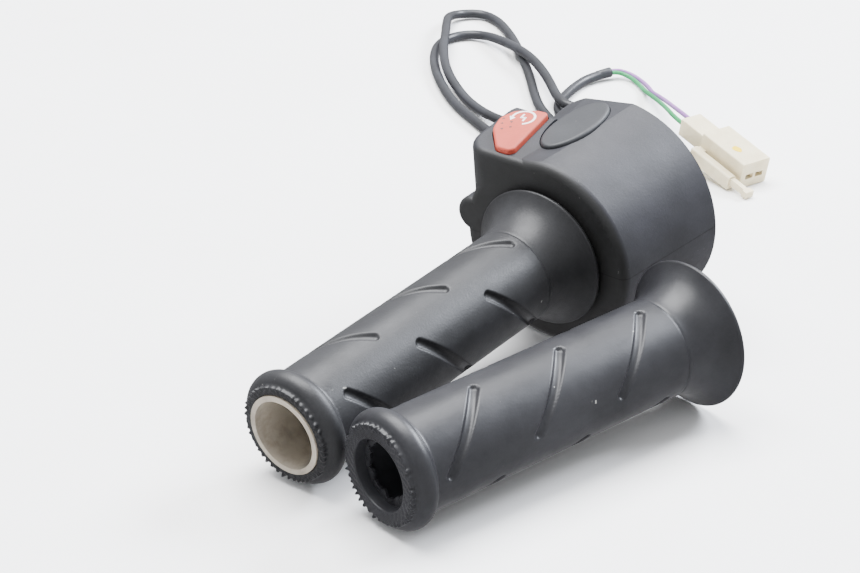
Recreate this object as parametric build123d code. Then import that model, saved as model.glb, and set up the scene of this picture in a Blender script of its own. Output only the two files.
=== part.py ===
from build123d import *
import math
import os

# Right-hand scooter throttle with its switch housing, its loom and connector, and the matching
# loose left-hand grip. Millimetres. The assembly lies on a flat surface, z = 0: +X runs along the
# handlebar from the grip's open end towards the housing, +Y points to the rider's side, +Z up.
# The throttle is drawn in the bar's own frame, where x is the distance from the grip's open end,
# and then tilted until its end bead and the housing's wide rim both touch the surface.

# Handlebar, tube and rubber
bar_diameter = 22.2
tube_bore_radius = 11.3
tube_radius = 13.0
tube_start = -2.0
grip_length = 122.5
grip_radius = 16.0
bead_radius = 18.6
bead_curve = 3.9
bead_length = 7.2
collar_radius = 15.6
collar_length = 1.6
neck_x = 8.6
flare_start = 106.7
flange_radius = 24.0
flange_edge = 1.3
left_bore_radius = 11.05

# Cable drum on the tube
drum_radius = 17.5
drum_rim_radius = 20.5
drum_start = 128.0
drum_end = 138.0
drum_rim = 1.6
hub_radius = 14.5
tube_end = 142.0
nipple_radius = 3.3

# Housing: two half shells of a slightly conical drum, split through the bar's axis
housing_start = 124.1
housing_end = 169.7
housing_small_radius = 32.6
housing_large_radius = 36.8
edge_radius = 2.6
wall = 2.4
face_hole_radius = 13.08
clamp_start = 151.0
clamp_radius = 15.5
rib_half_width = 27.0
rib_half_height = 12.0
rib_thickness = 3.0

# Raised block for the start button, with a roof that rises towards the inboard end
roof_height = 31.3
roof_slope = 0.10
block_length = 33.0
block_front = 3.0
block_rear = 32.3
rear_pad_radius = 6.2
rear_pad_length = 26.0

# Start button, drawn on the block's roof
button_points = [(2.4, 13.0), (27.2, 16.2), (26.8, 20.5), (23.2, 27.6), (17.6, 29.6), (11.0, 27.6)]
button_points += [(2.2, 19.4)]
button_corners = [2.2, 1.6, 4.0, 4.0, 6.0, 8.0, 3.2]
button_height = 1.9
button_gap = 0.35
button_centre = (15.2, 21.0)

# Oval blanking cap in a flat pad on top of the housing
pad_angle = 8.6
pad_start_distance = 32.8
pad_end_distance = 35.45
pad_start_x = 130.0
cap_centre_x = 150.5
cap_length = 32.3
cap_width = 16.4
cap_height = 1.3
cap_sink = 1.4

# Housing screws, cable inlet and loom outlet
screw_x = 158.0
screw_y = 20.5
screw_radius = 2.5
screw_head_radius = 4.3
screw_seat = -13.0
inlet_x = 133.0
inlet_height = -18.5
inlet_bore_radius = 3.4
inlet_radius = 5.6
outlet_y = 10.0
outlet_height = -24.0
grommet_nose = 4.0

# Loom, wires and connector
loom_diameter = 4.0
lead_diameter = 1.4
wire_diameter = 1.8
connector_heading = -104.5
connector_pitch = 12.9
connector_rear = (287.4, 53.3)
connector_block = (14.5, 10.0, 7.4)
connector_shroud = (24.0, 13.6, 11.0)
wire_pitch = 5.0

# Where the right grip's open end stands on the surface, and the left grip's end beside it
right_end = (-83.73, 23.53)
left_beside = (-0.6, -37.2)
left_heading = -11.0


def resting_tilt(x, radius):
    """Angle in degrees at which the bead and a wider rim at x both touch the surface."""
    run, rise = x - bead_length / 2, radius - (bead_radius - bead_curve)
    return math.degrees(math.atan2(rise, run) - math.asin(bead_curve / math.hypot(run, rise)))


def end_height(angle):
    """Height of the axis at the open end of a grip that rests on its bead."""
    cosine, sine = math.cos(math.radians(angle)), math.sin(math.radians(angle))
    return (bead_radius - bead_curve) * cosine + bead_curve - bead_length / 2 * sine


tilt = resting_tilt(housing_end, housing_large_radius)
left_tilt = resting_tilt(grip_length - flange_edge, flange_radius)
bar_place = Location((right_end[0], right_end[1], end_height(tilt)), (0, -tilt, 0))
left_end = (right_end[0] + left_beside[0], right_end[1] + left_beside[1], end_height(left_tilt))
left_turn = Location((0, 0, 0), (0, 0, left_heading)) * Location((0, 0, 0), (0, -left_tilt, 0))
left_place = Location(left_end) * left_turn

# The plug rests on its nose, with its rear end on the loom
plug_length = connector_block[0] + connector_shroud[0]
plug_rear = plug_length * math.sin(math.radians(connector_pitch))
plug_at = (right_end[0] + connector_rear[0], right_end[1] + connector_rear[1], plug_rear)
plug_turn = Location((0, 0, 0), (0, connector_pitch, 0))
connector_place = Location(plug_at, (0, 0, connector_heading)) * plug_turn
surface = Pos(0, 0, -20) * Box(600, 600, 40)

roof = Plane(origin=(housing_start, 0, roof_height), x_dir=(1, 0, roof_slope), z_dir=(-roof_slope, 0, 1))
pad_slope = (pad_end_distance - pad_start_distance) / (housing_end - pad_start_x)
pad_sine, pad_cosine = math.sin(math.radians(pad_angle)), math.cos(math.radians(pad_angle))
pad_distance = pad_start_distance + pad_slope * (cap_centre_x - pad_start_x)
pad = Plane(
    origin=(cap_centre_x, pad_distance * pad_sine, pad_distance * pad_cosine),
    x_dir=(1, pad_slope * pad_sine, pad_slope * pad_cosine),
    z_dir=(-pad_slope, pad_sine, pad_cosine),
)


def housing_radius(x):
    slope = (housing_large_radius - housing_small_radius) / (housing_end - housing_start)
    return housing_small_radius + slope * (x - housing_start)


def turned(edges):
    """Solid of revolution about the bar's axis from a closed outline of edges in x and radius."""
    return revolve(make_face(edges), Axis.X)


def polyline_turned(points):
    return turned(Polyline(*points, close=True))


def disc(x_start, x_end, radius, y=0.0, z=0.0):
    """Cylinder along the bar's axis between two stations."""
    return Pos((x_start + x_end) / 2, y, z) * Rot(0, 90, 0) * Cylinder(radius, x_end - x_start)


def block(low, high):
    size = [high[i] - low[i] for i in range(3)]
    return Pos(*[(high[i] + low[i]) / 2 for i in range(3)]) * Box(*size)


def grip_rubber(bore):
    """Rubber sleeve: end collar and rounded bead, plain body, and a flared guard flange with a thin lip."""
    flare = flange_radius - grip_radius
    reach = grip_length - flange_edge - flare_start
    flare_radius = (reach**2 + flare**2) / (2 * flare)
    half = math.asin(reach / flare_radius) / 2
    rise = flare_radius * (1 - math.cos(half))
    middle = (flare_start + flare_radius * math.sin(half), grip_radius + rise)
    lip = grip_length - flange_edge
    middle_x = bead_length / 2
    bead_foot = bead_radius - bead_curve + math.sqrt(bead_curve**2 - middle_x**2)
    outline = [
        Line((-collar_length, bore), (-collar_length, collar_radius)),
        Line((-collar_length, collar_radius), (0, bead_foot)),
        ThreePointArc((0, bead_foot), (middle_x, bead_radius), (bead_length, bead_foot)),
        Line((bead_length, bead_foot), (neck_x, grip_radius)),
        Line((neck_x, grip_radius), (flare_start, grip_radius)),
        ThreePointArc((flare_start, grip_radius), middle, (lip, flange_radius)),
        Line((lip, flange_radius), (grip_length, flange_radius - 0.5)),
        Line((grip_length, flange_radius - 0.5), (grip_length, flange_radius - 1.9)),
        Line((grip_length, flange_radius - 1.9), (grip_length - 3.0, 19.0)),
        Line((grip_length - 3.0, 19.0), (grip_length - 3.0, bore)),
        Line((grip_length - 3.0, bore), (-collar_length, bore)),
    ]
    return turned(outline)


def throttle_tube():
    """Nylon tube with the cable drum at its inboard end and a pocket for the cable's nipple."""
    groove_start, groove_end = drum_start + drum_rim, drum_end - drum_rim
    tube = polyline_turned([
        (tube_start, tube_bore_radius),
        (tube_start, tube_radius),
        (drum_start, tube_radius),
        (drum_start, drum_rim_radius),
        (groove_start, drum_rim_radius),
        (groove_start, drum_radius),
        (groove_end, drum_radius),
        (groove_end, drum_rim_radius),
        (drum_end, drum_rim_radius),
        (drum_end, hub_radius),
        (tube_end, hub_radius),
        (tube_end, tube_bore_radius),
    ])
    pocket_y = drum_radius - nipple_radius + 0.6
    pocket = disc(groove_start + 0.4, drum_end + 1, nipple_radius, pocket_y, 6.0)
    slot = block((groove_start + 2.0, pocket_y, 5.0), (groove_end - 2.0, drum_rim_radius + 1, 7.0))
    return tube - pocket - slot


def button_outline(margin=0.0):
    """Leaf-shaped outline of the start button on the roof, grown by a margin."""
    sketch = make_face(Polyline(*button_points, close=True))
    for corner, radius in zip(button_points, button_corners):
        vertex = sketch.vertices().sort_by_distance((corner[0], corner[1], 0))[0]
        sketch = fillet(vertex, radius)
    return offset(sketch, amount=margin) if margin else sketch


def on_roof(sketch, low, high):
    """Prism on the roof plane between two heights above it."""
    return extrude(roof * Pos(0, 0, low) * sketch, high - low, dir=roof.z_dir)


def block_outline(inset):
    """Plan of the button block, its outboard end flush with the housing's face."""
    front, rear = block_front + inset, block_rear - inset
    width, length = rear - front, block_length - 2 * inset
    plan = Pos(inset + length / 2, (front + rear) / 2) * Rectangle(length, width)
    rear_corners = plan.vertices().group_by(Axis.Y)[-1]
    return fillet(rear_corners, 9.0 - inset)


def button_block(inset):
    """Raised block under the button; inset makes the space inside it."""
    body = extrude(Pos(housing_start, 0, 0) * block_outline(inset), roof_height + 8)
    above = extrude(roof * Pos(20, 20, -inset) * Rectangle(140, 140), 40, dir=roof.z_dir)
    ramp = Plane(origin=(housing_start + block_length - 6, 0, roof_height + 3.0), z_dir=(1, 0, 1.1))
    beyond = extrude(ramp * Pos(0, 0, -inset) * Rectangle(140, 140), 40, dir=ramp.z_dir)
    body = body - above - beyond
    if inset:
        return body
    top = body.faces().sort_by_distance(roof * Pos(12, 18, 0) * Vertex(0, 0, 0))[0]
    rim = [e for e in top.edges() if e.center().Y > block_front + 1]
    return fillet(rim, 2.2)


def above_pad(depth):
    return extrude(pad * Pos(0, 0, -depth) * Rectangle(90, 90), 30, dir=pad.z_dir)


def housing_outside():
    start, end, radius = housing_start, housing_end, housing_small_radius
    bend = math.sqrt(0.5)
    outline = [
        Line((start, 0), (start, radius - edge_radius)),
        ThreePointArc(
            (start, radius - edge_radius),
            (start + edge_radius * (1 - bend), radius - edge_radius * (1 - bend)),
            (start + edge_radius, housing_radius(start + edge_radius)),
        ),
        Line((start + edge_radius, housing_radius(start + edge_radius)), (end, housing_large_radius)),
        Line((end, housing_large_radius), (end, 0)),
        Line((end, 0), (start, 0)),
    ]
    rear_pad = disc(start, start + rear_pad_length, rear_pad_radius, 30.2, 5.4)
    rear_pad = fillet(rear_pad.edges().group_by(Axis.X)[0], 2.0)
    return turned(outline) - above_pad(0), rear_pad


def housing_inside():
    start, end = housing_start + wall, housing_end - wall
    cone = polyline_turned([
        (start, 0), (start, housing_radius(start) - wall), (end, housing_radius(end) - wall), (end, 0)
    ])
    return (cone - above_pad(wall + 1.2)) + button_block(wall)


def clamp_core():
    """Bar clamp inside the housing: a split ring, two cross ribs and two screw columns."""
    core = disc(clamp_start, housing_end - wall, clamp_radius)
    for x in (clamp_start, housing_end - wall - rib_thickness):
        core += block(
            (x, -rib_half_width, -rib_half_height), (x + rib_thickness, rib_half_width, rib_half_height)
        )
    for side in (-1, 1):
        core += Pos(screw_x, side * screw_y, 0) * Cylinder(4.4 + 1.4, 2 * 27.0)
    return core


def half_space(sign):
    low, high = (0, 60) if sign > 0 else (-60, 0)
    return block((100, -60, low), (200, 60, high))


outside, rear_pad = housing_outside()
inside = housing_inside()
face_hole = disc(housing_start - 1, housing_start + wall + 1, face_hole_radius)
bar_hole = disc(clamp_start - 1, housing_end + 1, bar_diameter / 2)


def upper_housing():
    envelope = outside + button_block(0.0) + rear_pad
    envelope = envelope & half_space(1)
    shell = envelope - inside
    core = clamp_core() & half_space(1) & envelope
    core = core - block((100, -60, 13.0), (200, 60, 60))
    shell = shell + core - face_hole - bar_hole
    post = on_roof(Pos(27.8, 8.5) * Circle(2.6), -9.0, -wall) & envelope
    shell = shell + post - on_roof(Pos(27.8, 8.5) * Circle(1.1), -9.5, -4.0)
    shell = shell - on_roof(button_outline(button_gap), -wall - 4, 6)
    pocket = Ellipse(cap_length / 2 + 0.25, cap_width / 2 + 0.25)
    shell = shell - extrude(pad * Pos(0, 0, -cap_sink) * pocket, 10, dir=pad.z_dir)
    for x in (-7.5, 7.5):
        shell = shell - extrude(pad * Pos(x, 0, -8) * Rectangle(4.4, 6.4), 8, dir=pad.z_dir)
    for side in (-1, 1):
        shell = shell - Pos(screw_x, side * screw_y, 5.0) * Cylinder(screw_radius, 12.0)
    return shell


def lower_housing():
    envelope = outside & half_space(-1)
    shell = envelope - inside
    core = clamp_core() & half_space(-1) & envelope
    core = core - block((100, -16, -60), (200, 16, -13.0))
    inlet = Pos(inlet_x, 29.4, inlet_height) * Rot(90, 0, 0) * Cylinder(inlet_radius, 14.0)
    shell = shell + core + (inlet - inside)
    shell = shell - face_hole - bar_hole
    shell = shell - Pos(inlet_x, 30.0, inlet_height) * Rot(90, 0, 0) * Cylinder(inlet_bore_radius, 30.0)
    for side in (-1, 1):
        shell = shell - Pos(screw_x, side * screw_y, -15) * Cylinder(screw_radius + 0.25, 40.0)
        sink = Cylinder(screw_head_radius + 0.3, 40.0)
        shell = shell - Pos(screw_x, side * screw_y, screw_seat - 20) * sink
    shell = shell - disc(160, 175, loom_diameter / 2 + 1.9, outlet_y, outlet_height)
    seat = Pos(159.5, 0, -14.0) * Cylinder(1.8, 5.2)
    return shell - seat - bar_place.inverse() * surface


def housing_screws():
    """Two pan-head screws that close the halves on the bar."""
    screws = []
    for side in (-1, 1):
        head = Pos(screw_x, side * screw_y, screw_seat - 1.6) * Cylinder(screw_head_radius, 3.2)
        head = fillet(head.edges().group_by(Axis.Z)[0], 1.2)
        shank = Pos(screw_x, side * screw_y, (screw_seat + 10) / 2) * Cylinder(screw_radius, 10 - screw_seat)
        cross = Box(5.2, 1.1, 3.0) + Box(1.1, 5.2, 3.0)
        screws.append(head + shank - Pos(screw_x, side * screw_y, screw_seat - 3.2) * cross)
    return screws


def start_button():
    """Button cap with a retaining flange under the roof and a stem that guides the spring."""
    cap = on_roof(button_outline(), -4.6, button_height)
    top = cap.faces().sort_by_distance(roof * Pos(*button_centre, button_height) * Vertex(0, 0, 0))[0]
    cap = fillet(top.edges(), 0.9)
    flange = on_roof(button_outline(1.0), -4.6, -3.2)
    flange = flange & on_roof(Pos(14.7, 16) * Rectangle(24, 27), -6, 0)
    stem = on_roof(Pos(*button_centre) * Circle(1.6), -8.4, -4.6)
    return cap + flange + stem


def contact_bridge():
    """Sprung brass bar under the button that joins the two fixed contacts."""
    bar = on_roof(Pos(*button_centre) * Rectangle(12.0, 3.0), -9.0, -8.4)
    for x in (-5, 5):
        bar += on_roof(Pos(button_centre[0] + x, button_centre[1]) * Circle(1.1), -9.5, -9.0)
    return bar


def fixed_contacts():
    """Two brass contacts on the switch body, each with a solder tail."""
    contacts = []
    for side in (-1, 1):
        x = button_centre[0] + 5 * side
        rivet = on_roof(Pos(x, button_centre[1]) * Circle(1.2), -13.0, -12.05)
        pin = on_roof(Pos(x, button_centre[1]) * Circle(lead_diameter / 2), -17.0, -13.0)
        contacts.append(rivet + pin)
    return contacts


def switch_body():
    """Moulded carrier screwed to the roof's post, with a well for the spring."""
    body = on_roof(Pos(button_centre[0], 21.2) * Rectangle(18.0, 11.0), -15.5, -13.0)
    ear = on_roof(Pos(27.8, 8.5) * Circle(3.2), -11.0, -9.0)
    arm = on_roof(Pos(25.5, 12.6) * Rectangle(5.0, 9.0), -11.0, -9.0)
    riser = on_roof(Pos(25.5, 16.6) * Rectangle(5.0, 2.6), -15.5, -9.0)
    well = on_roof(Pos(*button_centre) * Circle(3.2), -14.4, -12.5)
    body = body + riser + arm + ear - well - on_roof(Pos(27.8, 8.5) * Circle(1.3), -16, -8)
    for x in (-5, 5):
        pin = Pos(button_centre[0] + x, button_centre[1]) * Circle(lead_diameter / 2)
        body = body - on_roof(pin, -16, -12)
    return body


def switch_screw():
    head = on_roof(Pos(27.8, 8.5) * Circle(2.2), -12.6, -11.0)
    return head + on_roof(Pos(27.8, 8.5) * Circle(1.1), -11.0, -4.6)


def button_spring():
    """Coiled return spring between the switch body's well and the contact bridge."""
    wire, height = 0.5, 5.4
    coil = Helix(pitch=1.2, height=height - wire, radius=2.3)
    spring = sweep(Plane(origin=coil @ 0, z_dir=coil % 0) * Circle(wire / 2), path=coil, is_frenet=True)
    return roof * Pos(*button_centre, -14.4 + wire / 2) * spring


def blanking_cap():
    """Oval cap that closes the spare switch opening, held by two snap legs."""
    oval = Ellipse(cap_length / 2, cap_width / 2)
    plate = extrude(pad * Pos(0, 0, -cap_sink) * oval, cap_sink + cap_height, dir=pad.z_dir)
    top = plate.faces().sort_by_distance(pad * Pos(0, 0, cap_height) * Vertex(0, 0, 0))[0]
    plate = fillet(top.edges(), 1.1)
    for x in (-7.5, 7.5):
        plate += extrude(pad * Pos(x, 0, -5.2) * Rectangle(3.8, 5.8), 4.2, dir=pad.z_dir)
    return plate


def grub_screw():
    """Set screw in the lower clamp, backed off until it is just clear of the bar."""
    screw = Pos(159.5, 0, -14.0) * Cylinder(1.8, 5.2)
    socket = Pos(159.5, 0, -15.6) * extrude(RegularPolygon(0.9, 6), 2.4, both=True)
    return screw - socket


def loom_grommet():
    """Rubber grommet in the housing's inboard wall with a short tapered nose."""
    bore, groove = loom_diameter / 2, loom_diameter / 2 + 1.9
    inner, outer = housing_end - wall, housing_end
    profile = [
        (inner - 1.4, 0.0),
        (inner - 1.4, groove + 1.3),
        (inner, groove + 1.3),
        (inner, groove),
        (outer, groove),
        (outer, groove + 1.3),
        (outer + 1.2, groove + 1.3),
        (outer + grommet_nose, bore + 0.9),
        (outer + grommet_nose, 0.0),
    ]
    return Pos(0, outlet_y, outlet_height) * polyline_turned(profile)


def tube_along(points, diameter, name):
    """Round tube along straight runs joined by tangent arcs, each as large as its runs allow."""
    vectors = [Vector(*p) for p in points]
    radii = []
    for before, at, after in zip(vectors, vectors[1:], vectors[2:]):
        shorter = min((at - before).length, (after - at).length)
        turn = math.radians((at - before).get_angle(after - at))
        radii.append(0.45 * shorter / math.tan(turn / 2))
    path = FilletPolyline(*vectors, radius=radii)
    section = Plane(origin=vectors[0], z_dir=vectors[1] - vectors[0]) * Circle(diameter / 2)
    tube = sweep(section, path=path)
    ideal = math.pi * diameter**2 / 4 * path.length
    print(f"{name}: length {path.length:.1f}, volume ratio {tube.volume / ideal:.4f}")
    print("   arc radii", " ".join(f"{r:.1f}" for r in radii))
    return tube


def from_bar(x, y, z):
    """Point of the bar's frame in the final frame."""
    angle = math.radians(tilt)
    return (
        right_end[0] + x * math.cos(angle) - z * math.sin(angle),
        right_end[1] + y,
        end_height(tilt) + x * math.sin(angle) + z * math.cos(angle),
    )


def beside_end(x, y, z):
    """Point measured from the right grip's open end, along and across the bar, and up."""
    return (right_end[0] + x, right_end[1] + y, z)


# The loom leaves the grommet, runs out behind the housing and lies there in two loose turns
loom_route = [from_bar(housing_end + grommet_nose, outlet_y, outlet_height)]
loom_route += [from_bar(housing_end + grommet_nose + 10.0, outlet_y, outlet_height)]
loom_route += [
    beside_end(*point) for point in (
        (195.0, 12.8, 13.4), (210.0, 18.4, 11.6), (227.0, 26.2, 9.6), (245.0, 34.8, 8.0), (263.0, 43.0, 7.0),
        (278.6, 50.2, 6.4), (287.4, 61.0, 5.4), (290.4, 74.6, 4.2), (291.2, 88.6, 4.0), (289.8, 102.0, 5.2),
        (285.9, 112.9, 6.6), (292.6, 122.1, 6.9), (304.0, 134.0, 6.6), (314.7, 146.7, 6.3),
        (322.5, 158.9, 6.6), (327.3, 169.7, 6.4), (334.0, 182.4, 4.6), (339.1, 195.2, 2.8),
        (336.3, 204.1, 2.1), (328.0, 207.3, 2.1), (317.6, 205.8, 2.1), (305.2, 197.9, 2.1),
        (293.7, 187.5, 2.1), (283.4, 176.3, 2.1), (274.0, 164.7, 2.1), (265.6, 152.2, 2.1),
        (259.3, 139.9, 2.1), (253.0, 127.4, 2.1), (248.4, 116.8, 2.1), (251.4, 106.0, 2.1),
        (260.6, 100.4, 2.1), (271.0, 103.2, 2.1), (277.8, 113.2, 2.1), (286.4, 125.6, 2.1),
        (299.0, 138.2, 2.1), (311.2, 149.4, 2.1), (322.8, 161.0, 2.1), (334.4, 173.4, 2.1),
        (345.1, 185.4, 2.1), (354.0, 196.9, 2.1), (359.6, 206.0, 2.1), (362.2, 216.2, 2.2),
        (354.2, 223.4, 2.6), (344.2, 221.6, 4.4), (333.2, 213.6, 6.6), (321.0, 204.2, 6.8),
        (307.2, 194.1, 6.5), (295.4, 183.6, 5.4), (288.0, 175.0, 3.6), (280.9, 164.7, 2.3),
        (272.9, 152.6, 2.1), (267.0, 140.8, 2.3), (261.0, 127.6, 4.0), (256.0, 113.8, 6.4),
        (250.8, 100.8, 6.4), (247.4, 87.8, 3.6), (251.2, 76.8, 2.1), (261.0, 71.6, 2.1), (271.6, 75.0, 2.1),
        (277.6, 85.0, 2.1), (280.2, 96.4, 2.1), (281.8, 106.6, 2.1), (286.2, 115.4, 2.1), (293.8, 121.8, 2.1),
        (304.0, 125.4, 2.1), (315.2, 128.4, 2.1), (326.0, 129.4, 2.4), (334.6, 126.2, 3.0),
    )
]
loom_end = Vector(*loom_route[-1])
loom_exit = (loom_end - Vector(*loom_route[-2])).normalized()
across = loom_exit.cross(Vector(0, 0, 1)).normalized()


def beyond_loom(side, reach):
    """Point on the line in which a wire leaves the loom's mouth, at a distance along it."""
    return tuple(loom_end + across * side + loom_exit * reach)


def connector_point(along, side, height):
    """Point of the connector's frame: along its axis from the rear face, to its left, and up."""
    return tuple((connector_place * Pos(along, side, height)).position)


wire_height = 1.0 + connector_block[2] / 2
barrel_start = 5.0
end_of_blade = connector_block[0] + connector_shroud[0] - 3.0
green_route = [beyond_loom(0.95, 0), beyond_loom(0.95, 3.8)]
green_route += [
    beside_end(*p) for p in (
        (340.2, 119.0, 1.8), (337.2, 112.0, 1.3), (332.4, 105.6, 1.2), (325.7, 98.6, 3.2), (314.7, 86.6, 6.6),
        (301.1, 72.7, 10.6),
    )
]
purple_route = [beyond_loom(-0.95, 0), beyond_loom(-0.95, 5.2)]
purple_route += [
    beside_end(*p) for p in (
        (343.0, 119.8, 1.8), (340.0, 111.6, 1.3), (335.6, 104.8, 1.2), (327.7, 98.0, 3.2), (317.3, 86.2, 6.8),
        (304.7, 72.8, 10.8),
    )
]
for route, lane in ((green_route, -wire_pitch / 2), (purple_route, wire_pitch / 2)):
    route += [connector_point(-6.0, lane, wire_height), connector_point(barrel_start, lane, wire_height)]


def connector_housing():
    """Nylon two-way plug: wire block, wider nose with two pin cavities, and a side latch with a hook."""
    middle, (nose, width, height) = connector_block[0], connector_shroud
    end, side = middle + nose, -width / 2
    half, top = connector_block[1] / 2, 1.0 + connector_block[2]
    rear = block((0, -half, 1.0), (middle, half, top))
    front = block((middle, side, 0), (end, -side, height))
    body = fillet((rear + front).edges().filter_by(Axis.X), 0.6)
    rail = block((middle, side - 4.8, 0.2), (end - 1.5, side - 1.2, 5.6))
    rail = fillet(rail.edges().filter_by(Axis.X).group_by(Axis.Z)[-1], 0.9)
    arm = block((end - 2, side - 4.0, 2.2), (end + 8, side - 2.0, 5.0))
    hook = block((end + 6.4, side - 4.8, 2.2), (end + 8.6, side - 0.8, 5.0))
    bridges = block((middle, side - 2, 1.0), (middle + 3.5, side + 1, 5.0))
    body = body + rail + arm + hook + bridges
    for lane in (-1, 1):
        y = lane * wire_pitch / 2
        body = body - disc(-1, barrel_start + 6.0, wire_diameter / 2 + 0.45, y, wire_height)
        cavity = block((barrel_start + 5.0, y - 1.9, wire_height - 1.1), (60, y + 1.9, wire_height + 1.1))
        body = body - cavity
    return body


def connector_terminals():
    """Two crimped terminals, one per wire: a barrel on the wire and a flat blade in its cavity."""
    terminals = []
    for lane in (-1, 1):
        y = lane * wire_pitch / 2
        low, high = wire_height - 0.4, wire_height + 0.4
        blade = block((barrel_start + 4.0, y - 1.9, low), (end_of_blade, y + 1.9, high))
        barrel = disc(barrel_start, barrel_start + 5.0, wire_diameter / 2 + 0.45, y, wire_height)
        terminals.append(blade + barrel)
    return terminals


def switch_leads():
    """Two leads inside the housing that run from the switch's pins, round the bar, to the grommet."""
    starts = [roof * Pos(button_centre[0] + x, button_centre[1], -17.0) for x in (-5, 5)]
    grommet_face = housing_end - wall - 1.4
    middles = [
        [(137.4, 22.8, 8.4), (141.6, 25.4, 1.6), (145.4, 26.4, -6.6), (147.4, 22.8, -15.4),
         (150.4, 14.8, -21.4), (155.4, 10.2, -23.4)],
        [(146.4, 23.4, 7.4), (149.0, 27.0, -0.4), (149.6, 28.2, -9.4), (149.8, 24.0, -17.8),
         (151.4, 16.0, -22.8), (156.2, 12.2, -24.2)],
    ]
    leads = []
    for side, start, middle in zip((-1, 1), starts, middles):
        below = start * Pos(0, 0, -4.0)
        ahead, end = [(x, outlet_y + side, outlet_height) for x in (grommet_face - 4.5, grommet_face)]
        route = [tuple(start.position), tuple(below.position), *middle, ahead, end]
        leads.append(tube_along(route, lead_diameter, "lead inside the housing"))
    return leads


def solids_of(shape):
    """Plain list of the solids in a shape or a list of shapes."""
    shapes = shape if isinstance(shape, list) else [shape]
    return [solid for item in shapes for solid in item.solids()]


bar_nodes = {
    "upper_housing": upper_housing(),
    "lower_housing": lower_housing(),
    "housing_screws": housing_screws(),
    "throttle_tube": throttle_tube(),
    "right_grip_rubber": grip_rubber(tube_radius),
    "start_button": start_button(),
    "contact_bridge": contact_bridge(),
    "fixed_contacts": fixed_contacts(),
    "switch_body": switch_body(),
    "switch_screw": switch_screw(),
    "button_spring": button_spring(),
    "blanking_cap": blanking_cap(),
    "grub_screw": grub_screw(),
    "loom_grommet": loom_grommet(),
    "switch_leads": switch_leads(),
}
nodes = {name: [bar_place * s for s in solids_of(shape)] for name, shape in bar_nodes.items()}
nodes["left_grip_rubber"] = [left_place * s for s in solids_of(grip_rubber(left_bore_radius))]
nodes["loom_sleeve"] = solids_of(tube_along(loom_route, loom_diameter, "loom sleeve"))
nodes["green_wire"] = solids_of(tube_along(green_route, wire_diameter, "green wire"))
nodes["purple_wire"] = solids_of(tube_along(purple_route, wire_diameter, "purple wire"))
nodes["connector_housing"] = solids_of(connector_place * connector_housing())
nodes["connector_terminals"] = [connector_place * s for s in solids_of(connector_terminals())]

os.makedirs("parts", exist_ok=True)
for name, solids in nodes.items():
    export_step(Compound(solids) if len(solids) > 1 else solids[0], f"parts/{name}.step")

cord_nodes = ("loom_sleeve", "green_wire", "purple_wire", "connector_housing", "connector_terminals")
body = Compound([s for name, solids in nodes.items() if name not in cord_nodes for s in solids])
box = body.bounding_box()
print(f"tilt {tilt:.3f}, left tilt {left_tilt:.3f}, connector heading {connector_heading:.2f}")
print("box without the cords", [round(v, 3) for v in (*box.min, *box.max)])
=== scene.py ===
import bpy
import math
import numpy as np
from mathutils import Matrix, Vector


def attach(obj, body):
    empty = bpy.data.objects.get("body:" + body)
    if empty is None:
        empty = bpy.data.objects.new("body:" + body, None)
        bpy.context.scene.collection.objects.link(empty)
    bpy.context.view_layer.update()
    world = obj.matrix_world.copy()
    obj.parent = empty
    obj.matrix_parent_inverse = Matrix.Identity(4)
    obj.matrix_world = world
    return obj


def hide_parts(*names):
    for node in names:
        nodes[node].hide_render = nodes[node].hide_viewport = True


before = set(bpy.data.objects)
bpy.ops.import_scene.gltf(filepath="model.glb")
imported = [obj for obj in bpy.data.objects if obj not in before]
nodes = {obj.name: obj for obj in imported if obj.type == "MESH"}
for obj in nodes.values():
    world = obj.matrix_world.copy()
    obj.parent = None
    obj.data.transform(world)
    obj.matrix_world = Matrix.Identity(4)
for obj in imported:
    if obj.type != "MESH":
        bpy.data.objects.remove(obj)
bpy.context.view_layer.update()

# Shapes are in millimetres, in the frame of the grip, plug or button that they belong to, and become
# metres through mm(). Shader distances, cord diameters, the table and the lights are in metres.
MM = 0.001
scene = bpy.context.scene


def mm(x, y, z):
    return Vector((x, y, z)) * MM


# ---------------------------------------------------------------- frames of the two grips
GRIP_LENGTH, FLANGE_RADIUS, GRIP_RADIUS = 122.5, 24.0, 16.0
BEAD_RADIUS, BEAD_CURVE, BEAD_LENGTH = 18.6, 3.9, 7.2
FLARE_START, FLARE_RADIUS = 106.7, 17.14
COLLAR_LENGTH, COLLAR_RADIUS = 1.6, 15.6
RIGHT_END = Vector((-83.73, 23.53, 18.1211))
LEFT_END = Vector((-84.33, -13.67, 18.42))


def axes_of(heading, tilt):
    """Rotation whose x axis runs along a grip that is turned in plan and tilted up."""
    turn = Matrix.Rotation(math.radians(heading), 4, "Z")
    return turn @ Matrix.Rotation(math.radians(-tilt), 4, "Y")


bar_matrix = Matrix.Translation(RIGHT_END * MM) @ axes_of(0, 6.2452)
left_matrix = Matrix.Translation(LEFT_END * MM) @ axes_of(-11.0, 2.627)


# ---------------------------------------------------------------- materials
def new_material(name):
    material = bpy.data.materials.new(name)
    material.use_nodes = True
    tree = material.node_tree
    return material, tree, tree.nodes["Principled BSDF"]


def add(tree, kind, **inputs):
    node = tree.nodes.new(kind)
    for key, value in inputs.items():
        node.inputs[key.replace("_", " ")].default_value = value
    return node


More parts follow.
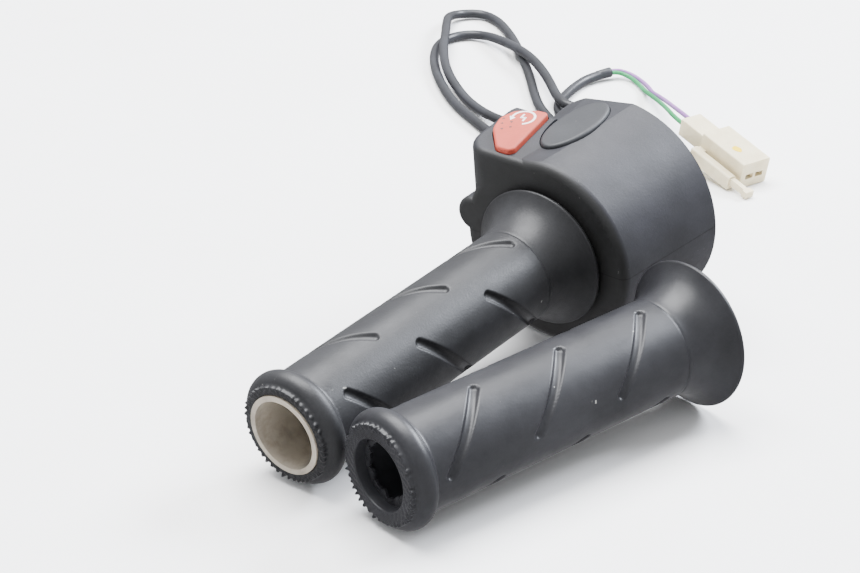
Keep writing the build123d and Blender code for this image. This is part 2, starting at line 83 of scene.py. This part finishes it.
def noise(tree, scale, detail=4.0, rough=0.6, stretch=None):
    """Noise in the piece's own coordinates, stretched along an axis if asked."""
    coords = tree.nodes.new("ShaderNodeTexCoord")
    source = coords.outputs["Object"]
    if stretch:
        mapping = tree.nodes.new("ShaderNodeMapping")
        mapping.inputs["Scale"].default_value = stretch
        tree.links.new(source, mapping.inputs["Vector"])
        source = mapping.outputs["Vector"]
    node = add(tree, "ShaderNodeTexNoise", Scale=scale, Detail=detail, Roughness=rough)
    tree.links.new(source, node.inputs["Vector"])
    return node.outputs["Fac"]


def ramp(tree, source, stops):
    node = tree.nodes.new("ShaderNodeValToRGB")
    elements = node.color_ramp.elements
    while len(elements) < len(stops):
        elements.new(0.5)
    for element, (at, value) in zip(elements, stops):
        element.position = at
        element.color = (value, value, value, 1) if isinstance(value, float) else (*value, 1)
    tree.links.new(source, node.inputs["Fac"])
    return node.outputs["Color"]


def mix(tree, factor, a, b, mode="MIX"):
    node = tree.nodes.new("ShaderNodeMix")
    node.data_type = "RGBA"
    node.blend_type = mode
    for socket, value in ((node.inputs["Factor"], factor), (node.inputs[6], a), (node.inputs[7], b)):
        if isinstance(value, (int, float)):
            socket.default_value = value
        elif isinstance(value, tuple):
            socket.default_value = (*value, 1)
        else:
            tree.links.new(value, socket)
    return node.outputs[2]


def bump(tree, shader, source, strength, distance, before=None):
    node = add(tree, "ShaderNodeBump", Strength=strength, Distance=distance)
    tree.links.new(source, node.inputs["Height"])
    if before:
        tree.links.new(before, node.inputs["Normal"])
    tree.links.new(node.outputs["Normal"], shader.inputs["Normal"])
    return node.outputs["Normal"]


SPECULAR_LEVEL = 0.32
DUST_COLOUR = (0.55, 0.54, 0.5)


def moulded(name, dark, light, rough, grain=1500.0, grain_bump=0.1, dust=0.0, extra=None):
    """Moulded plastic or rubber: cloudy colour, fine grain, rubbed patches and a few specks of dust."""
    material, tree, shader = new_material(name)
    clouds = noise(tree, 38.0, 5.0, 0.62)
    colour = mix(tree, ramp(tree, clouds, [(0.34, 0.0), (0.66, 1.0)]), dark, light)
    fine = noise(tree, grain, 3.0, 0.7)
    shade = ramp(tree, fine, [(0.3, 0.86), (0.7, 1.0)])
    colour = mix(tree, 1.0, colour, shade, "MULTIPLY")
    specks = noise(tree, 420.0, 2.0, 0.5)
    colour = mix(tree, ramp(tree, specks, [(0.765, 0.0), (0.785, dust)]), colour, DUST_COLOUR)
    if extra:
        colour = extra(tree, colour)
    tree.links.new(colour, shader.inputs["Base Color"])
    rubbed = noise(tree, 90.0, 6.0, 0.7)
    tree.links.new(ramp(tree, rubbed, [(0.32, rough[0]), (0.68, rough[1])]), shader.inputs["Roughness"])
    shader.inputs["Specular IOR Level"].default_value = SPECULAR_LEVEL
    first = bump(tree, shader, fine, grain_bump, 0.00012)
    bump(tree, shader, noise(tree, 160.0, 4.0, 0.6), 0.12, 0.0004, first)
    return material


def height_over(tree, origin, normal):
    """Distance in metres of each point from a plane, positive along its normal."""
    coords = tree.nodes.new("ShaderNodeTexCoord")
    shift = tree.nodes.new("ShaderNodeVectorMath")
    shift.operation = "SUBTRACT"
    shift.inputs[1].default_value = origin
    tree.links.new(coords.outputs["Object"], shift.inputs[0])
    dot = tree.nodes.new("ShaderNodeVectorMath")
    dot.operation = "DOT_PRODUCT"
    dot.inputs[1].default_value = normal
    tree.links.new(shift.outputs[0], dot.inputs[0])
    return dot.outputs["Value"]


def maths(tree, operation, a, b=0.0):
    node = tree.nodes.new("ShaderNodeMath")
    node.operation = operation
    for socket, value in ((node.inputs[0], a), (node.inputs[1], b)):
        if isinstance(value, (int, float)):
            socket.default_value = value
        else:
            tree.links.new(value, socket)
    return node.outputs[0]


bar_origin = tuple(bar_matrix.translation)
bar_x = tuple(bar_matrix.to_3x3() @ Vector((1, 0, 0)))
bar_z = tuple(bar_matrix.to_3x3() @ Vector((0, 0, 1)))
# Just behind the housing's face beside the grip, in metres along the bar; painted shade darkens the housing
# in front of it
FACE_STATION = 0.1262


def housing_colour_and_shade(tree, colour):
    """The housing is browner low down, darker on the face beside the grip as painted shade, with a dark seam.
    """
    height = height_over(tree, bar_origin, bar_z)
    low = ramp(tree, maths(tree, "MULTIPLY_ADD", height, 12.0), [(0.0, 1.0), (0.55, 0.0)])
    colour = mix(tree, maths(tree, "MULTIPLY", low, 0.35), colour, (0.024, 0.018, 0.015))
    # Painted shade: the housing's face beside the grip is darkened as if shaded by the grip's flange.
    along = height_over(tree, bar_origin, bar_x)
    past_face = maths(tree, "SUBTRACT", FACE_STATION, along)
    face = ramp(tree, maths(tree, "MULTIPLY", past_face, 900.0), [(0.0, 0.0), (1.0, 1.0)])
    colour = mix(tree, maths(tree, "MULTIPLY", face, 0.55), colour, (0.016, 0.016, 0.013))
    gap = maths(tree, "ABSOLUTE", height)
    seam = ramp(tree, maths(tree, "MULTIPLY", gap, 2500.0), [(0.2, 1.0), (0.62, 0.0)])
    return mix(tree, maths(tree, "MULTIPLY", seam, 0.85), colour, (0.003, 0.003, 0.003))


def nylon(name, colour, dirt, amount, rough, subsurface):
    """Milky unpainted nylon with a little dirt in its cloudy patches."""
    material, tree, shader = new_material(name)
    stain = noise(tree, 130.0, 6.0, 0.65)
    base = mix(tree, ramp(tree, stain, [(0.45, 0.0), (0.8, amount)]), colour, dirt)
    tree.links.new(base, shader.inputs["Base Color"])
    wear = ramp(tree, noise(tree, 300.0), [(0.3, rough), (0.7, rough + 0.16)])
    tree.links.new(wear, shader.inputs["Roughness"])
    shader.inputs["Subsurface Weight"].default_value = subsurface
    shader.inputs["Subsurface Radius"].default_value = (1.0, 0.9, 0.7)
    shader.inputs["Subsurface Scale"].default_value = 0.002
    bump(tree, shader, noise(tree, 700.0, 3.0, 0.6), 0.12, 0.0002)
    return material


def metal(name, colour, rough):
    material, tree, shader = new_material(name)
    tarnish = noise(tree, 260.0, 5.0, 0.6)
    dark = tuple(c * 0.55 for c in colour)
    tree.links.new(mix(tree, ramp(tree, tarnish, [(0.4, 0.0), (0.75, 0.8)]), colour, dark),
                   shader.inputs["Base Color"])
    tree.links.new(ramp(tree, tarnish, [(0.3, rough), (0.7, rough + 0.2)]), shader.inputs["Roughness"])
    shader.inputs["Metallic"].default_value = 1.0
    bump(tree, shader, noise(tree, 1500.0, 2.0, 0.5), 0.1, 0.0001)
    return material


housing_plastic = moulded("housing_plastic", (0.015, 0.015, 0.018), (0.025, 0.025, 0.031), (0.42, 0.56),
                          grain=1300.0, grain_bump=0.3, dust=0.3, extra=housing_colour_and_shade)
cap_plastic = moulded("cap_plastic", (0.024, 0.025, 0.028), (0.033, 0.034, 0.037), (0.46, 0.58),
                      grain=1300.0, grain_bump=0.3, dust=0.3)
grip_rubber = moulded("grip_rubber", (0.013, 0.013, 0.014), (0.024, 0.024, 0.026), (0.36, 0.5),
                      grain_bump=0.45, dust=0.4)
left_rubber = moulded("left_grip_rubber", (0.013, 0.013, 0.015), (0.023, 0.023, 0.026), (0.31, 0.46),
                      grain_bump=0.2, dust=0.5)
button_plastic = moulded("button_plastic", (0.42, 0.055, 0.032), (0.50, 0.078, 0.046), (0.5, 0.62),
                         grain=1200.0, grain_bump=0.12)
sleeve_vinyl = moulded("sleeve_vinyl", (0.020, 0.020, 0.022), (0.034, 0.035, 0.040), (0.3, 0.44),
                       grain=700.0, grain_bump=0.15)
grommet_rubber = moulded("grommet_rubber", (0.01, 0.01, 0.01), (0.018, 0.018, 0.018), (0.6, 0.7),
                         grain=900.0, grain_bump=0.2)
switch_plastic = moulded("switch_plastic", (0.01, 0.01, 0.01), (0.018, 0.018, 0.018), (0.45, 0.55),
                         grain=900.0, grain_bump=0.2)
green_vinyl = moulded("green_insulation", (0.012, 0.20, 0.06), (0.03, 0.27, 0.095), (0.36, 0.46),
                      grain=700.0, grain_bump=0.06)
purple_vinyl = moulded("purple_insulation", (0.25, 0.10, 0.33), (0.34, 0.16, 0.42), (0.36, 0.46),
                       grain=700.0, grain_bump=0.06)
lead_vinyl = moulded("lead_insulation", (0.03, 0.2, 0.08), (0.06, 0.26, 0.11), (0.4, 0.5),
                     grain=700.0, grain_bump=0.06)
tube_nylon = nylon("tube_nylon", (0.32, 0.28, 0.225), (0.07, 0.06, 0.05), 0.8, 0.32, 0.15)
plug_nylon = nylon("connector_nylon", (0.70, 0.62, 0.43), (0.44, 0.34, 0.18), 0.4, 0.3, 0.3)
steel = metal("screw_steel", (0.6, 0.6, 0.62), 0.3)
brass = metal("contact_brass", (0.78, 0.6, 0.3), 0.3)
for name, material in {
    "upper_housing": housing_plastic, "lower_housing": housing_plastic, "blanking_cap": cap_plastic,
    "housing_screws": steel, "grub_screw": steel, "switch_screw": steel, "button_spring": steel,
    "throttle_tube": tube_nylon, "start_button": button_plastic, "contact_bridge": brass,
    "fixed_contacts": brass, "switch_body": switch_plastic, "loom_grommet": grommet_rubber,
    "switch_leads": lead_vinyl, "connector_housing": plug_nylon, "connector_terminals": brass,
}.items():
    nodes[name].data.materials.clear()
    nodes[name].data.materials.append(material)


def piece(obj, body, material):
    obj.data.materials.append(material)
    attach(obj, body)
    return obj


def mesh_object(name, points, faces, smooth=True):
    mesh = bpy.data.meshes.new(name)
    mesh.from_pydata([tuple(p) for p in points], [], faces)
    mesh.validate()
    if smooth:
        mesh.polygons.foreach_set("use_smooth", [True] * len(mesh.polygons))
    obj = bpy.data.objects.new(name, mesh)
    scene.collection.objects.link(obj)
    return obj


# ---------------------------------------------------------------- rubber grips
def slot_depth(s, angle, rows, first_end, last_end):
    """Depth of the helical slots at a station and an angle from the front, both arrays."""
    half_width, depth = 1.6, 1.15
    result = np.zeros_like(s)
    for row in range(3):
        for shift in rows:
            a = np.array((first_end[0] + shift, math.radians(first_end[1] + 120 * row) * GRIP_RADIUS))
            b = np.array((last_end[0] + shift, math.radians(last_end[1] + 120 * row) * GRIP_RADIUS))
            direction = (b - a) / np.linalg.norm(b - a)
            a, b = a + direction * half_width, b - direction * half_width
            girth = 2 * math.pi * GRIP_RADIUS
            for wrap in (-girth, 0, girth):
                ds, da = s - a[0], angle * GRIP_RADIUS + wrap - a[1]
                span = b - a
                t = np.clip((ds * span[0] + da * span[1]) / (span @ span), 0, 1)
                distance = np.hypot(ds - t * span[0], da - t * span[1]) / half_width
                hollow = depth * np.clip(1 - distance**3.2, 0, 1) ** 0.6
                result = np.maximum(result, hollow)
    return result


def grip_profile(bore):
    """Closed outline of the rubber in station and radius, with the kind of each point."""
    face, far = -COLLAR_LENGTH, GRIP_LENGTH
    recess = far - 3.0
    points = [(60.0, bore, ""), (3.0, bore, ""), (face + 0.5, bore, ""), (face + 0.14, bore + 0.14, "")]
    points.append((face, bore + 0.5, ""))
    radius = bore + 0.8
    while radius < COLLAR_RADIUS - 0.3:
        points.append((face, radius, "face"))
        radius += 0.3
    points += [(face + 0.08, COLLAR_RADIUS - 0.12, "face"), (face + 0.3, COLLAR_RADIUS, "face")]
    points += [(face + 0.6, COLLAR_RADIUS + 0.05, "face"), (face + 0.9, COLLAR_RADIUS + 0.1, "face")]
    points += [(face + 1.2, COLLAR_RADIUS + 0.2, "")]
    foot = math.asin(BEAD_LENGTH / 2 / BEAD_CURVE)
    for i in range(27):
        turn = -foot + 2 * foot * i / 26
        station = BEAD_LENGTH / 2 + BEAD_CURVE * math.sin(turn)
        points.append((station, BEAD_RADIUS - BEAD_CURVE * (1 - math.cos(turn)), ""))
    points += [(7.6, 16.06, ""), (8.1, 15.98, "")]
    stations = np.arange(8.6, FLARE_START - 0.5, 0.45)
    points += [(float(s), GRIP_RADIUS, "body") for s in stations]
    points += [(FLARE_START - 0.3, GRIP_RADIUS, "")]
    points += [(FLARE_START - 0.12, 15.86, ""), (FLARE_START + 0.12, 15.86, "")]
    half = math.asin((GRIP_LENGTH - 1.3 - FLARE_START) / FLARE_RADIUS)
    for i in range(1, 33):
        turn = half * i / 32
        points.append((FLARE_START + FLARE_RADIUS * math.sin(turn),
                       GRIP_RADIUS + FLARE_RADIUS * (1 - math.cos(turn)), ""))
    lip = FLANGE_RADIUS
    points += [(far - 1.0, lip - 0.02, ""), (far - 0.6, lip - 0.14, ""), (far - 0.15, lip - 0.4, "")]
    points += [(far, lip - 0.7, ""), (far, lip - 1.7, ""), (far - 0.2, lip - 2.0, "")]
    points += [(far - 1.9, lip - 3.8, ""), (recess, lip - 5.0, "")]
    points += [(recess, GRIP_RADIUS, ""), (recess, bore, "")]
    return points


def grip_mesh(name, matrix, bore, first_end, last_end, rows, phase):
    """Rubber sleeve as a closed grid of stations and angles, with its slots and end teeth."""
    profile = grip_profile(bore)
    around = 320
    s = np.array([p[0] for p in profile])[:, None] * np.ones(around)
    r = np.array([p[1] for p in profile])[:, None] * np.ones(around)
    angle = np.ones(len(profile))[:, None] * (np.arange(around) * 2 * math.pi / around)
    body = np.array([p[2] == "body" for p in profile])
    r[body] -= slot_depth(s[body], angle[body], rows, first_end, last_end)
    face = np.array([p[2] == "face" for p in profile])[:, None]
    knob = np.clip(np.sin(angle * 46 + 1.2 * np.sin(angle * 5) + phase) * 1.3, -0.6, 1.0)
    worn = 0.62 + 0.42 * np.sin(angle * 3 + phase) + 0.3 * np.sin(angle * 11 + 1.7) + 0.3 * np.sin(angle * 17)
    worn = np.clip(worn, 0.05, 1.3)
    band = np.exp(-((r - 15.35) / 0.65) ** 2)
    loops = np.exp(-((r - 14.3) / 0.35) ** 2) * np.clip(np.sin(angle * 26 + phase), 0, 1)
    pitted = 0.12 * np.sin(angle * 57 + r * 9) * np.sin(r * 6.1 + angle * 23)
    knob_length, knob_rise, loop_length = 0.45, 0.34, 0.35
    teeth = knob_length * knob * worn * band
    s = np.where(face, s - teeth - loop_length * loops * worn + pitted * (r > bore + 0.6), s)
    r = np.where(face, r + knob_rise * knob * worn * band, r)
    local = np.stack([s, -r * np.cos(angle), r * np.sin(angle)], axis=-1).reshape(-1, 3) * MM
    rotation = np.array(matrix.to_3x3())
    points = local @ rotation.T + np.array(matrix.translation)
    rings = len(profile)
    faces = []
    for i in range(rings):
        j = (i + 1) % rings
        for k in range(around):
            m = (k + 1) % around
            faces.append((i * around + k, i * around + m, j * around + m, j * around + k))
    return mesh_object(name, points.tolist(), faces)


right_grip = grip_mesh("right_grip", bar_matrix, 13.0, (37.5, 71.5), (13.4, 164.0), (0.0, 32.9, 66.0), 0.4)
piece(right_grip, "throttle", grip_rubber)
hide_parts("right_grip_rubber")
left_grip = grip_mesh("left_grip", left_matrix, 11.05, (34.1, 87.9), (11.3, 1.4), (0.0, 33.2, 66.0), 2.1)
piece(left_grip, "left_grip", left_rubber)
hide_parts("left_grip_rubber")


def torn_web(name, matrix, outer, inner, station, thickness):
    """Ragged rest of the thin web that closed the loose grip's end before it was cut open."""
    around = 120
    points, faces = [], []
    for side in (0, 1):
        for k in range(around):
            a = 2 * math.pi * k / around
            torn = 0.9 * math.sin(7 * a + 1) + 0.55 * math.sin(17 * a) + 0.35 * math.sin(31 * a + 2)
            flap = 1.6 * math.exp(-((math.cos(a) - 0.75) / 0.4) ** 2)
            for radius in (outer, inner + torn * 0.55 - flap + 0.3):
                s = station + thickness * side + (0.5 * math.sin(9 * a) if radius < outer else 0.0)
                points.append(matrix @ mm(s, -radius * math.cos(a), radius * math.sin(a)))
    for k in range(around):
        m = (k + 1) % around
        a0, a1, b0, b1 = 2 * k, 2 * k + 1, 2 * m, 2 * m + 1
        back = 2 * around
        faces += [(a0, b0, b1, a1), (back + a1, back + b1, back + b0, back + a0)]
        faces += [(a1, b1, back + b1, back + a1), (b0, a0, back + a0, back + b0)]
    return mesh_object(name, points, faces, smooth=False)


web = torn_web("left_grip_torn_web", left_matrix, 11.2, 8.9, 2.4, 0.9)
piece(web, "left_grip", left_rubber)


# ---------------------------------------------------------------- loom, wires and their ends
def from_bar(x, y, z):
    return bar_matrix @ mm(x, y, z)


def beside_end(x, y, z):
    """Point measured from the right grip's open end in plan, and up from the surface."""
    return mm(RIGHT_END.x + x, RIGHT_END.y + y, z)


loom_points = [from_bar(173.7, 10, -24), from_bar(183.7, 10, -24)]
loom_points += [beside_end(*p) for p in (
    (195.0, 12.8, 13.4), (210.0, 18.4, 11.6), (227.0, 26.2, 9.6), (245.0, 34.8, 8.0), (263.0, 43.0, 7.0),
    (278.6, 50.2, 6.4), (287.4, 61.0, 5.4), (290.4, 74.6, 4.2), (291.2, 88.6, 4.0), (289.8, 102.0, 5.2),
    (285.9, 112.9, 6.6), (292.6, 122.1, 6.9), (304.0, 134.0, 6.6), (314.7, 146.7, 6.3), (322.5, 158.9, 6.6),
    (327.3, 169.7, 6.4), (334.0, 182.4, 4.6), (339.1, 195.2, 2.8), (336.3, 204.1, 2.1), (328.0, 207.3, 2.1),
    (317.6, 205.8, 2.1), (305.2, 197.9, 2.1), (293.7, 187.5, 2.1), (283.4, 176.3, 2.1), (274.0, 164.7, 2.1),
    (265.6, 152.2, 2.1), (259.3, 139.9, 2.1), (253.0, 127.4, 2.1), (248.4, 116.8, 2.1), (251.4, 106.0, 2.1),
    (260.6, 100.4, 2.1), (271.0, 103.2, 2.1), (277.8, 113.2, 2.1), (286.4, 125.6, 2.1), (299.0, 138.2, 2.1),
    (311.2, 149.4, 2.1), (322.8, 161.0, 2.1), (334.4, 173.4, 2.1), (345.1, 185.4, 2.1), (354.0, 196.9, 2.1),
    (359.6, 206.0, 2.1), (362.2, 216.2, 2.2), (354.2, 223.4, 2.6), (344.2, 221.6, 4.4), (333.2, 213.6, 6.6),
    (321.0, 204.2, 6.8), (307.2, 194.1, 6.5), (295.4, 183.6, 5.4), (288.0, 175.0, 3.6), (280.9, 164.7, 2.3),
    (272.9, 152.6, 2.1), (267.0, 140.8, 2.3), (261.0, 127.6, 4.0), (256.0, 113.8, 6.4), (250.8, 100.8, 6.4),
    (247.4, 87.8, 3.6), (251.2, 76.8, 2.1), (261.0, 71.6, 2.1), (271.6, 75.0, 2.1), (277.6, 85.0, 2.1),
    (280.2, 96.4, 2.1), (281.8, 106.6, 2.1), (286.2, 115.4, 2.1), (293.8, 121.8, 2.1), (304.0, 125.4, 2.1),
    (315.2, 128.4, 2.1), (326.0, 129.4, 2.4), (334.6, 126.2, 3.0),
)]
mouth = loom_points[-1]
mouth_exit = (mouth - loom_points[-2]).normalized()
across = mouth_exit.cross(Vector((0, 0, 1))).normalized()
plug_matrix = (
    Matrix.Translation(mm(RIGHT_END.x + 287.4, RIGHT_END.y + 53.3, 8.595)) @ axes_of(-104.5, -12.9)
)


def beyond_loom(side, reach):
    return mouth + (across * side + mouth_exit * reach) * MM


def in_plug(along, side, height):
    return plug_matrix @ mm(along, side, height)


green_points = [beyond_loom(0.95, 0), beyond_loom(0.95, 3.8)] + [beside_end(*p) for p in (
    (340.2, 119.0, 1.8), (337.2, 112.0, 1.3), (332.4, 105.6, 1.2), (325.7, 98.6, 3.2), (314.7, 86.6, 6.6),
    (301.1, 72.7, 10.6),
)] + [in_plug(-6.0, -2.5, 4.7), in_plug(5.0, -2.5, 4.7)]
purple_points = [beyond_loom(-0.95, 0), beyond_loom(-0.95, 5.2)] + [beside_end(*p) for p in (
    (343.0, 119.8, 1.8), (340.0, 111.6, 1.3), (335.6, 104.8, 1.2), (327.7, 98.0, 3.2), (317.3, 86.2, 6.8),
    (304.7, 72.8, 10.8),
)] + [in_plug(-6.0, 2.5, 4.7), in_plug(5.0, 2.5, 4.7)]


def cord_curve(name, points, diameter):
    curve = bpy.data.curves.new(name, "CURVE")
    curve.dimensions = "3D"
    spline = curve.splines.new("NURBS")
    spline.points.add(len(points) - 1)
    for target, p in zip(spline.points, points):
        target.co = (*p, 1)
    spline.order_u = 3
    spline.use_endpoint_u = True
    spline.resolution_u = 8
    curve.bevel_depth = diameter / 2
    curve.bevel_resolution = 6
    curve.use_fill_caps = True
    obj = bpy.data.objects.new(name, curve)
    scene.collection.objects.link(obj)
    return obj


loom = piece(cord_curve("loom", loom_points, 0.004), "housing", sleeve_vinyl)
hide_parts("loom_sleeve")
green = piece(cord_curve("green_lead", green_points, 0.0018), "housing", green_vinyl)
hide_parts("green_wire")
purple = piece(cord_curve("purple_lead", purple_points, 0.0018), "housing", purple_vinyl)
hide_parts("purple_wire")


def lathe(name, profile, matrix):
    """Closed outline of (along, radius) points turned about the matrix's x axis."""
    around = 48
    points, faces = [], []
    for along, radius in profile:
        for k in range(around):
            a = 2 * math.pi * k / around
            points.append(matrix @ mm(along, radius * math.cos(a), radius * math.sin(a)))
    rings = len(profile)
    for i in range(rings):
        j = (i + 1) % rings
        for k in range(around):
            m = (k + 1) % around
            faces.append((i * around + k, j * around + k, j * around + m, i * around + m))
    return mesh_object(name, points, faces)


def facing(origin, direction):
    """Frame at a point whose x axis is a direction."""
    x = direction.normalized()
    y = Vector((0, 0, 1)).cross(x).normalized()
    z = x.cross(y)
    return Matrix.Translation(origin) @ Matrix((x, y, z)).transposed().to_4x4()


sleeve_mouth = lathe("loom_mouth", [
    (-5.0, 1.9), (-4.6, 2.06), (0.2, 2.12), (1.5, 2.16), (1.7, 2.1), (1.7, 1.86), (1.5, 1.8), (0.1, 1.8),
    (0.1, 1.2),
], facing(mouth, mouth_exit))
piece(sleeve_mouth, "housing", sleeve_vinyl)

# ---------------------------------------------------------------- printed and painted marks
slope = math.atan(0.10)
button_top = bar_matrix @ Matrix.Translation(mm(124.1, 0, 31.3)) @ Matrix.Rotation(-slope, 4, "Y")


def slab(name, outline, matrix, low, high):
    """Thin closed prism on a plane from an outline of (x, y) points, counter-clockwise."""
    count = len(outline)
    points = [matrix @ mm(x, y, z) for z in (low, high) for x, y in outline]
    faces = [tuple(reversed(range(count))), tuple(range(count, 2 * count))]
    faces += [(k, (k + 1) % count, count + (k + 1) % count, count + k) for k in range(count)]
    return mesh_object(name, points, faces, smooth=False)


def plain_paint(name, dark, light, rough):
    return moulded(name, dark, light, rough)


white_ink = plain_paint("white_ink", (0.80, 0.78, 0.76), (0.90, 0.89, 0.88), (0.5, 0.6))
dark_ink = plain_paint("dark_ink", (0.05, 0.03, 0.03), (0.12, 0.06, 0.05), (0.5, 0.6))
yellow_paint = plain_paint("yellow_paint", (0.80, 0.55, 0.0), (0.86, 0.60, 0.0), (0.35, 0.45))


def mark(name, outline, height, material, matrix=button_top, body="button"):
    return piece(slab(name, outline, matrix, height - 0.05, height + 0.04), body, material)


def arc(radius, first, last):
    """Points on the start symbol's ring from one angle to another."""
    turns = [first + (last - first) * i / RING_STEPS for i in range(RING_STEPS + 1)]
    return [(ring_x + radius * math.cos(t), ring_y + radius * math.sin(t)) for t in turns]


def blot(x, y, wide, deep, count):
    """Uneven round spot, where wide and deep give its two half sizes at each angle."""
    turns = [2 * math.pi * k / count for k in range(count)]
    return [(x + wide(t) * math.cos(t), y + deep(t) * math.sin(t)) for t in turns]


def dot_reach(t, phase):
    return 0.42 + 0.12 * math.sin(3 * t + phase)


def spot_length(t):
    return 2.1 + 0.22 * math.sin(3 * t + 1)


def spot_width(t):
    return 1.65 + 0.18 * math.sin(2 * t)


BUTTON_FACE, PLUG_FACE = 1.9, 11.0
RING_STEPS = 40
BOLT_HALF_WIDTH = 0.34
ring_x, ring_y = 20.6, 21.9
start, stop = math.radians(-150), math.radians(112)
mark("start_ring", arc(4.3, start, stop) + arc(3.5, stop, start), BUTTON_FACE, white_ink)
tip_x, tip_y = ring_x + 3.9 * math.cos(stop), ring_y + 3.9 * math.sin(stop)
arrow = [(tip_x + 0.3, tip_y - 1.2), (tip_x + 0.3, tip_y + 1.2), (tip_x - 1.7, tip_y - 0.5)]
mark("start_arrow", arrow, BUTTON_FACE, white_ink)
bolt = (((1.9, 1.0), (-0.5, 0.7)), ((-0.4, 0.9), (0.4, -0.8)), ((0.5, -0.6), (-1.9, -1.1)))
for number, stroke in enumerate(bolt):
    a, b = (Vector((ring_x + x, ring_y + y)) for x, y in stroke)
    side = (b - a).normalized().orthogonal() * BOLT_HALF_WIDTH
    corners = [a + side, b + side, b - side, a - side]
    mark(f"start_bolt_{number}", [tuple(c) for c in corners], BUTTON_FACE, white_ink)
for number, (x, y) in enumerate(((17.2, 27.6), (14.6, 26.2), (11.8, 24.2), (16.7, 23.9), (14.0, 22.3))):
    dot = blot(x, y, lambda t: dot_reach(t, number), lambda t: dot_reach(t, number), 20)
    mark(f"button_dot_{number}", dot, BUTTON_FACE, dark_ink)
spot = blot(28.6, -1.8, spot_length, spot_width, 28)
mark("yellow_dot", spot, PLUG_FACE, yellow_paint, plug_matrix, "housing")

# ---------------------------------------------------------------- stage, light and camera
TABLE_REACH, TABLE_DROP = 4, 0.0002
floor_mesh = bpy.data.meshes.new("table")
corners = [(x * TABLE_REACH, y * TABLE_REACH, -TABLE_DROP) for x, y in ((-1, -1), (1, -1), (1, 1), (-1, 1))]
floor_mesh.from_pydata(corners, [], [(0, 1, 2, 3)])
floor = bpy.data.objects.new("table", floor_mesh)
scene.collection.objects.link(floor)
floor_material, tree, shader = new_material("table_top")
wear = noise(tree, 9.0, 8.0, 0.62)
base = mix(tree, ramp(tree, wear, [(0.3, 0.0), (0.75, 1.0)]), (0.93, 0.925, 0.92), (0.90, 0.89, 0.875))
tree.links.new(base, shader.inputs["Base Color"])
shader.inputs["Roughness"].default_value = 0.6
floor_mesh.materials.append(floor_material)
floor.visible_glossy = False

world = bpy.data.worlds.new("studio")
scene.world = world
world.use_nodes = True
sky, backdrop = world.node_tree, world.node_tree.nodes["Background"]
direction = sky.nodes.new("ShaderNodeTexCoord")
parts = sky.nodes.new("ShaderNodeSeparateXYZ")
sky.links.new(direction.outputs["Generated"], parts.inputs[0])
shade = ramp(sky, parts.outputs["Z"],
             [(0.0, (0.48, 0.48, 0.50)), (0.12, (0.62, 0.63, 0.66)), (0.6, (0.95, 0.97, 1.0))])
sky.links.new(shade, backdrop.inputs["Color"])
backdrop.inputs["Strength"].default_value = 1.25


def softbox(name, at, target, size, power, colour):
    data = bpy.data.lights.new(name, "AREA")
    data.shape = "RECTANGLE"
    data.size, data.size_y = size
    data.energy = power
    data.color = colour
    lamp = bpy.data.objects.new(name, data)
    lamp.location = at
    lamp.rotation_euler = (Vector(target) - Vector(at)).to_track_quat("-Z", "Y").to_euler()
    scene.collection.objects.link(lamp)


softbox("overhead", (0.15, 0.45, 1.5), (0, 0.05, 0), (1.5, 1.1), 112.0, (0.97, 0.98, 1.0))
softbox("window", (1.25, -0.35, 0.95), (0, 0, 0.02), (0.9, 0.5), 72.0, (0.86, 0.91, 1.0))

VIEW_FROM, VIEW_TO, LENS = mm(-513.13, -388.37, 354.0), mm(46.97, 78.13, 0), 97.2
camera = bpy.data.objects.new("camera", bpy.data.cameras.new("camera"))
camera.location = VIEW_FROM
camera.rotation_euler = (VIEW_TO - VIEW_FROM).to_track_quat("-Z", "Y").to_euler()
camera.data.lens = LENS
camera.data.sensor_width = 36.0
camera.data.clip_start = 0.01
scene.collection.objects.link(camera)
scene.camera = camera
